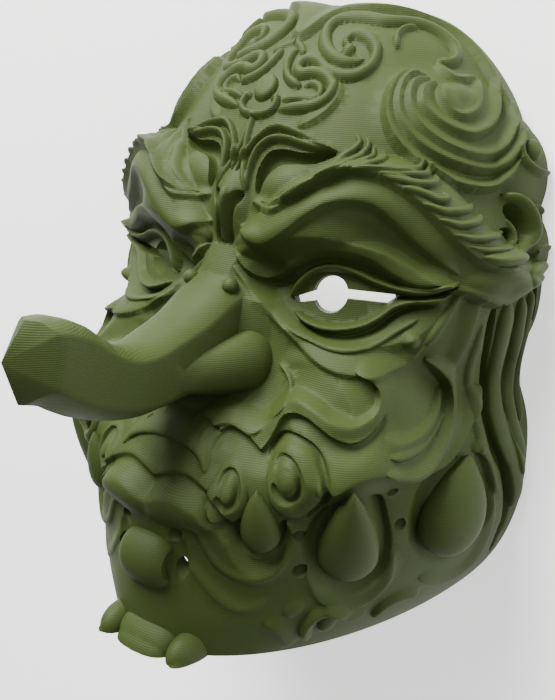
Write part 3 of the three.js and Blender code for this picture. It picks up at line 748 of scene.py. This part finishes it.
def select_only(piece):
    """Makes one piece active and selects nothing else."""
    bpy.ops.object.select_all(action='DESELECT')
    bpy.context.view_layer.objects.active = piece
    piece.select_set(True)


def cut_or_join(target, tool, operation):
    """Takes the tool from the target, or joins it on, and clears the tool away."""
    boolean = target.modifiers.new("boolean", 'BOOLEAN')
    boolean.operation = operation
    boolean.solver = 'MANIFOLD'
    boolean.object = tool
    select_only(target)
    bpy.ops.object.modifier_apply(modifier=boolean.name)
    bpy.data.objects.remove(tool)


mask = add_dome("carved_mask", CELLS, carved=True, floor=0)
print("carved dome:", len(mask.data.vertices), "vertices")

# %% [markdown]
# ## The nose
#
# The nose is a bent tube with a narrow flat top, bevelled sides and a soft keel. It narrows as it
# leaves the face, then keeps its width while it turns up. Rings of points are set out along it
# and skinned.

# %% The nose
# From the face to the tip: top line and bottom line (both as y, z), half width, and how far
# the middle of the ring runs ahead of its sides
NOSE = np.array([
    (24, 60, -20, 60, 13, 0), (22, 70, -22, 70, 13, 0), (15.5, 83, -20.5, 82, 12, 0),
    (9, 94, -20, 92, 11, 0), (5.3, 104, -20.5, 103, 10.4, 0), (2.8, 112, -21, 113, 10, 0),
    (2.6, 119, -19.8, 122, 10, 0), (5, 126, -17.5, 131, 10, 0), (9.5, 132.5, -14, 140.5, 10, 0),
    (13.4, 138, -11.5, 145.5, 10, 0), (16, 144.5, -8, 150.5, 9.6, 1), (16.6, 149, -6.5, 152, 8.6, 5)])
NOSE_TIP = (0, 6.5, 162)
NOSE_WALL = 3.0
# Half of a section: across, and 1 at the top to -1 at the keel
SECTION = [(0, 1), (0.5, 0.97), (0.6, 0.92), (0.96, 0.74), (1, 0.64), (1, -0.48), (0.94, -0.6),
           (0.14, -1), (0, -1)]


def through_rows(rows, count):
    """More rows, on smooth lines through the given ones."""
    padded = run_on(rows)
    result = []
    for s in np.linspace(0, len(rows) - 1, count):
        i = min(int(s), len(rows) - 2)
        result.append(bend(*padded[i:i + 4], s - i))
    return np.array(result)


def skin(name, rings, tip=None):
    """A closed skin over rings of points, with a fan at each end."""
    count = len(rings[0])
    points = [tuple(point) for ring in rings for point in ring]
    faces = []
    for k in range(len(rings) - 1):
        for n in range(count):
            m = (n + 1) % count
            faces.append((k * count + n, k * count + m, (k + 1) * count + m, (k + 1) * count + n))
    last = (len(rings) - 1) * count
    for first, centre in ((0, np.mean(rings[0], axis=0)), (last, tip or np.mean(rings[-1], axis=0))):
        points.append(tuple(centre))
        faces += [(len(points) - 1, first + n, first + (n + 1) % count) for n in range(count)]
    mesh = bpy.data.meshes.new(name)
    mesh.from_pydata([tuple(c * MM for c in point) for point in points], [], faces)
    piece = bpy.data.objects.new(name, mesh)
    bpy.context.collection.objects.link(piece)
    select_only(piece)
    bpy.ops.object.mode_set(mode='EDIT')
    face_outwards()
    return piece


def nose_rings(inset, stations, around):
    """A ring at each station, set in by the wall where it is for the hollow."""
    corners = np.array(SECTION)
    passed = np.concatenate([[0], np.cumsum(np.hypot(*np.diff(corners, axis=0).T))])
    steps = np.linspace(0, passed[-1], around // 2 + 1)
    half = np.stack([np.interp(steps, passed, corners[:, n]) for n in (0, 1)], 1)
    outline = np.vstack([half, half[-2:0:-1] * (-1, 1)])
    rings = []
    for top_y, top_z, low_y, low_z, width, lead in stations:
        span = math.hypot(top_y - low_y, top_z - low_z) / 2
        x = outline[:, 0] * (width - inset)
        v = outline[:, 1] * (1 - inset / span)
        y = (top_y + low_y) / 2 + v * (top_y - low_y) / 2
        z = (top_z + low_z) / 2 + v * (top_z - low_z) / 2 + lead * (1 - np.abs(outline[:, 0]))
        rings.append(np.stack([x, y, z], 1))
    return rings


# The nose comes first, and all that stands off the dome is joined to it
outside = nose_rings(inset=0, stations=through_rows(NOSE, count=90), around=96)
additions = skin("additions", outside, NOSE_TIP)
print("nose:", len(additions.data.polygons), "faces")

# %% The wings and warts of the nose
WING_BASE = (15.2, -8.5, 79)
WING_TIP = (2.5, -11.5, 119)
WING_HALF = 10.6
WING_RISE = 7.8
WART_PLACE = (8.2, 15.3, 80.4)
WART_RADIUS = 2.6


def add_ball(place, radii, segments=48):
    """A ball with a radius along each axis, in mm."""
    bpy.ops.mesh.primitive_uv_sphere_add(segments=segments, ring_count=segments // 2, radius=MM)
    ball = bpy.context.object
    ball.scale = radii
    ball.location = Vector(place) * MM
    bpy.ops.object.transform_apply()
    return ball


def add_teardrop(start, end, out, half, outline, side, fullness, thinning):
    """Rings that grow as a ball does behind the start, and shrink to a point at the end."""
    start = np.array(start, float)
    along = np.array(end, float) - start
    length = np.linalg.norm(along)
    along /= length
    out = out - along * (out @ along)
    out /= np.linalg.norm(out)
    across = np.cross(along, out)
    outline = np.array(outline)
    rings = []
    # Both stop just short of the ends, which the skin closes
    behind = -np.cos(np.linspace(0.08, np.pi / 2, 14))
    ahead = np.linspace(0.04, 0.985, 28)
    for t in np.concatenate([behind, ahead]):
        size = math.sqrt(1 - t * t) if t < 0 else 1 - t ** fullness
        centre = start + along * t * (half if t < 0 else length)
        ring = centre + np.outer(outline[:, 0] * size * half, across)
        ring += np.outer(outline[:, 1] * size ** thinning, out)
        rings.append(ring * (side, 1, 1))
    return skin("teardrop", rings)


# The wing's section is round above and has a flat bevel below
section = [(math.cos(t), math.sin(t)) for t in np.radians(np.linspace(0, 127, 20))]
section += [(-0.7, 0.62), (-0.86, 0.36), (-1, 0.1), (-1, -0.5), (-0.5, -1), (0.5, -1), (0.9, -0.5)]
wing_section = [(across, out * WING_RISE) for across, out in section]
outward = np.array((1.0, 0, 0))

for side in (1, -1):
    wing = add_teardrop(WING_BASE, WING_TIP, outward, WING_HALF, wing_section, side,
                        fullness=1.1, thinning=1.0)
    cut_or_join(additions, wing, 'UNION')
    wart = add_ball((side * WART_PLACE[0], *WART_PLACE[1:]), (WART_RADIUS,) * 3, segments=24)
    cut_or_join(additions, wart, 'UNION')
print("nose, wings and warts:", len(additions.data.polygons), "faces")

# %% [markdown]
# ## The fangs
#
# Each fang is a teardrop that stands out of its own pocket. A ball could be pulled to a point, but
# that stretches its faces. Here rings of points grow as a ball does at the base and shrink to a
# point at the tip, as on the wings of the nose.

# %% The fangs
# Base and tip in p and q, then half width and rise in mm
FANGS = [((18.4, -29.4), (19, -21.2), 6.4, 5.0),
         ((31.2, -36.6), (34.6, -20.2), 9.6, 6.5),
         ((51.2, -41.6), (59.4, -28.8), 13.2, 8.0)]
# How deep a fang reaches into the face, and how far its tip stands clear of it
FANG_SUNK = 4
FANG_TIP_CLEAR = 2.5


def surface(p, q):
    """A place on the carved face, in mm."""
    p, q = np.array([float(p)]), np.array([float(q)])
    return (direction(p, q) * (head_radius(p, q) + heights(p, q, True))[:, None])[0]


def add_fang(base, tip, half, rise, side):
    """A teardrop from its base on the face to a tip just clear of it."""
    turns = np.linspace(0, 2 * np.pi, 40, endpoint=False)
    outline = [(math.cos(t), math.sin(t) * (rise if math.sin(t) > 0 else FANG_SUNK)) for t in turns]
    out = direction(np.array(base[0]), np.array(base[1]))
    end = surface(*tip) + FANG_TIP_CLEAR * out
    return add_teardrop(surface(*base), end, out, half, outline, side, fullness=1.9, thinning=0.7)


for side in (1, -1):
    for fang in FANGS:
        cut_or_join(additions, add_fang(*fang, side), 'UNION')
print("with fangs:", len(additions.data.polygons), "faces")

# %% [markdown]
# ## The roll and the leaves of the chin
#
# A roll lies across the chin, open at both ends like a curled leaf. It could be carved out of
# the dome, but its ends undercut, so it is a form of its own, skinned over rings. The middle leaf
# on the jaw edge is three such rolls, one over the other, so that each leaves a crease. The round
# leaves beside it are balls pressed flat.

# %% The roll
# Centre, half length across the chin and two radii, in mm
ROLL = ((0, -70.5, 106), 9.5, (9.5, 8))
# The cup in each end: its radii, and how far its centre lies past the end and above the axis
ROLL_CUP = (2.6, 5.5, 4.5)
CUP_OUT = 0.8
CUP_UP = 1


def add_roll(centre, half, radii, bluntness=0.86, swell=0.06):
    """Rings across the chin, fullest in the middle, with the ends drawn in."""
    turns = np.linspace(0, 2 * np.pi, 48, endpoint=False)
    rings = []
    for t in np.linspace(-1, 1, 41):
        size = math.sqrt(1 - (bluntness * t) ** 4) - swell * (abs(t) - 0.5)
        rings.append([(centre[0] + t * half, centre[1] + radii[0] * size * math.cos(turn),
                       centre[2] + radii[1] * size * math.sin(turn)) for turn in turns])
    return skin("roll", rings)


roll = add_roll(*ROLL)
for side in (1, -1):
    (x, y, z), half, _ = ROLL
    cup = add_ball((x + side * (half + CUP_OUT), y, z + CUP_UP), ROLL_CUP)
    cut_or_join(roll, cup, 'DIFFERENCE')
cut_or_join(additions, roll, 'UNION')

# %% The leaves on the jaw edge
# The folds of the middle leaf, from the chin down, as centre, half length and radii
LEAF_FOLDS = [((0, -100.4, 102.4), 11.4, (9.2, 10.6)), ((0, -102.2, 103.2), 10.9, (8.2, 11.4)),
              ((0, -104.6, 103.8), 10.3, (7.2, 12.2))]
ROUND_LEAF = [((15, -100, 103.6), (5.4, 7.2, 10)), ((16, -102.4, 104.6), (4.2, 5.4, 9.6))]

for fold in LEAF_FOLDS:
    cut_or_join(additions, add_roll(*fold), 'UNION')
for side in (1, -1):
    for (x, y, z), radii in ROUND_LEAF:
        cut_or_join(additions, add_ball((side * x, y, z), radii), 'UNION')
print("with the roll and the leaves:", len(additions.data.polygons), "faces")

# %% [markdown]
# ## The hollow and the holes
#
# The inside follows the broad form. Then the nose is hollowed, the jaw is cut flat where
# the print stood on its bed, and the eye slits, vents and strap slots go right through.

# %% The hollow
cut_or_join(mask, additions, 'UNION')
hollow = add_dome("hollow", CELLS // 6, carved=False, floor=-10)
inside = nose_rings(NOSE_WALL, stations=through_rows(NOSE[:11], count=40), around=32)
nose_hollow = skin("nose_hollow", inside)
cut_or_join(hollow, nose_hollow, 'UNION')


def add_block(place, size):
    """A box round its middle, in mm."""
    bpy.ops.mesh.primitive_cube_add(size=MM)
    block = bpy.context.object
    block.scale = size
    block.location = Vector(place) * MM
    bpy.ops.object.transform_apply()
    return block


# Everything below the jaw edge goes
BED = (400, 200, 500)
cut_or_join(hollow, add_block((0, JAW_EDGE - BED[1] / 2, 0), BED), 'UNION')
print("hollow:", len(hollow.data.polygons), "faces")

# %% The holes
# The eye hole as a place and two radii, and the slits beside it as outlines
EYE = (28.3, 12, 4.1, 4.6)
SLIT_IN = [(19.5, 10.3), (25, 12.8), (25, 10), (20.3, 8.8)]
SLIT_OUT = [(31, 13.6), (43.5, 13.3), (43.7, 12.6), (42, 11), (31, 11.3)]
VENT_RADIUS = 2.5
# How far the vents lie from the middle of the rim, and from where to where each cutter reaches
VENT_AWAY = 120
EYE_REACH = (40, 130)
STRAP_REACH = (60, 95)
VENT_REACH = (70, 140)
VENTS = [(5.2, -29.1), (6.2, -33.6), (24.5, -30), (23.5, -36.5), (40.8, -28.5), (41, -36)]
STRAP_SLOT = [(83.5, 16.5), (85.5, 17), (88.5, 3), (86, 2)]


def ring_of(p, q, rp, rq, count=32):
    """An oval round a place on the face."""
    turns = np.linspace(0, 2 * np.pi, count, endpoint=False)
    return [(p + rp * math.cos(t), q + rq * math.sin(t)) for t in turns]


def add_cutter(outline, side, span):
    """An outline on the face, drawn out along the lines of sight."""
    p, q = np.array(outline, float).T
    rays = direction(side * p, q)
    return skin("cutter", [rays * away for away in span])


vent_turn = math.degrees(VENT_RADIUS / VENT_AWAY)
for side in (1, -1):
    cutters = [add_cutter(outline, side, EYE_REACH) for outline in (ring_of(*EYE), SLIT_IN, SLIT_OUT)]
    cutters.append(add_cutter(STRAP_SLOT, side, STRAP_REACH))
    for vent in VENTS:
        cutters.append(add_cutter(ring_of(*vent, vent_turn, vent_turn, 20), side, VENT_REACH))
    for cutter in cutters:
        cut_or_join(hollow, cutter, 'UNION')
cut_or_join(mask, hollow, 'DIFFERENCE')
print("cut mask:", len(mask.data.polygons), "faces")

# %% Fewer triangles
MOST_TRIANGLES = 190000
SHARPEST_SMOOTH = 40


def count_triangles(piece):
    return sum(len(polygon.vertices) - 2 for polygon in piece.data.polygons)


def thin_out(piece, most):
    """Merges faces where the form is flattest, until few enough triangles are left."""
    count = count_triangles(piece)
    if count > most:
        decimate = piece.modifiers.new("decimate", 'DECIMATE')
        decimate.ratio = most / count
        select_only(piece)
        bpy.ops.object.modifier_apply(modifier=decimate.name)


print("triangles before:", count_triangles(mask))
thin_out(mask, MOST_TRIANGLES)
print("triangles after:", count_triangles(mask))
select_only(mask)
bpy.ops.object.shade_smooth_by_angle(angle=math.radians(SHARPEST_SMOOTH))

# %% [markdown]
# ## Olive green PLA
#
# PLA is a plastic that a printer lays down as a fine thread. Its surface is matt with a soft
# sheen, and the thread leaves level lines square to Y, because the mask was printed upright.

# %% The plastic
# Real layers are about 0.2 mm, too fine to show, so they are drawn coarser
LAYER_MM = 0.6
LAYER_DEPTH_MM = 0.06
DRIFTS_PER_METRE = 14.0


def printed_pla():
    """Matt with a soft sheen, in olive green, with fine level lines."""
    material = bpy.data.materials.new("printed_olive_pla")
    material.use_nodes = True
    tree = material.node_tree
    shader = tree.nodes["Principled BSDF"]
    place = add_node(tree, 'ShaderNodeTexCoord').outputs["Object"]
    # The tone changes slowly, over some 7 cm
    drift = add_node(tree, 'ShaderNodeTexNoise', Vector=place, Scale=DRIFTS_PER_METRE, Detail=2.0)
    tone = add_node(tree, 'ShaderNodeMix', {"data_type": 'RGBA'}, Factor=drift.outputs["Fac"])
    tone.inputs["A"].default_value = paint("2e3815")
    tone.inputs["B"].default_value = paint("36421a")
    tree.links.new(tone.outputs["Result"], shader.inputs["Base Color"])
    # Layer lines: a wave up Y
    split = add_node(tree, 'ShaderNodeSeparateXYZ', Vector=place)
    count = add_node(tree, 'ShaderNodeMath', {"operation": 'MULTIPLY'},
                     i0=split.outputs["Y"], i1=2 * math.pi / (LAYER_MM * MM))
    wave = add_node(tree, 'ShaderNodeMath', {"operation": 'SINE'}, i0=count.outputs[0])
    bump = add_node(tree, 'ShaderNodeBump', Height=wave.outputs[0], Strength=0.35,
                    Distance=LAYER_DEPTH_MM * MM)
    tree.links.new(bump.outputs["Normal"], shader.inputs["Normal"])
    shader.inputs["Roughness"].default_value = 0.6
    shader.inputs["IOR"].default_value = 1.46
    shader.inputs["Specular IOR Level"].default_value = 0.2
    return material


mask.data.materials.clear()
mask.data.materials.append(printed_pla())
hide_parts("mask")
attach(mask, "root")
print("finished", mask.name, "with", mask.data.materials[0].name)
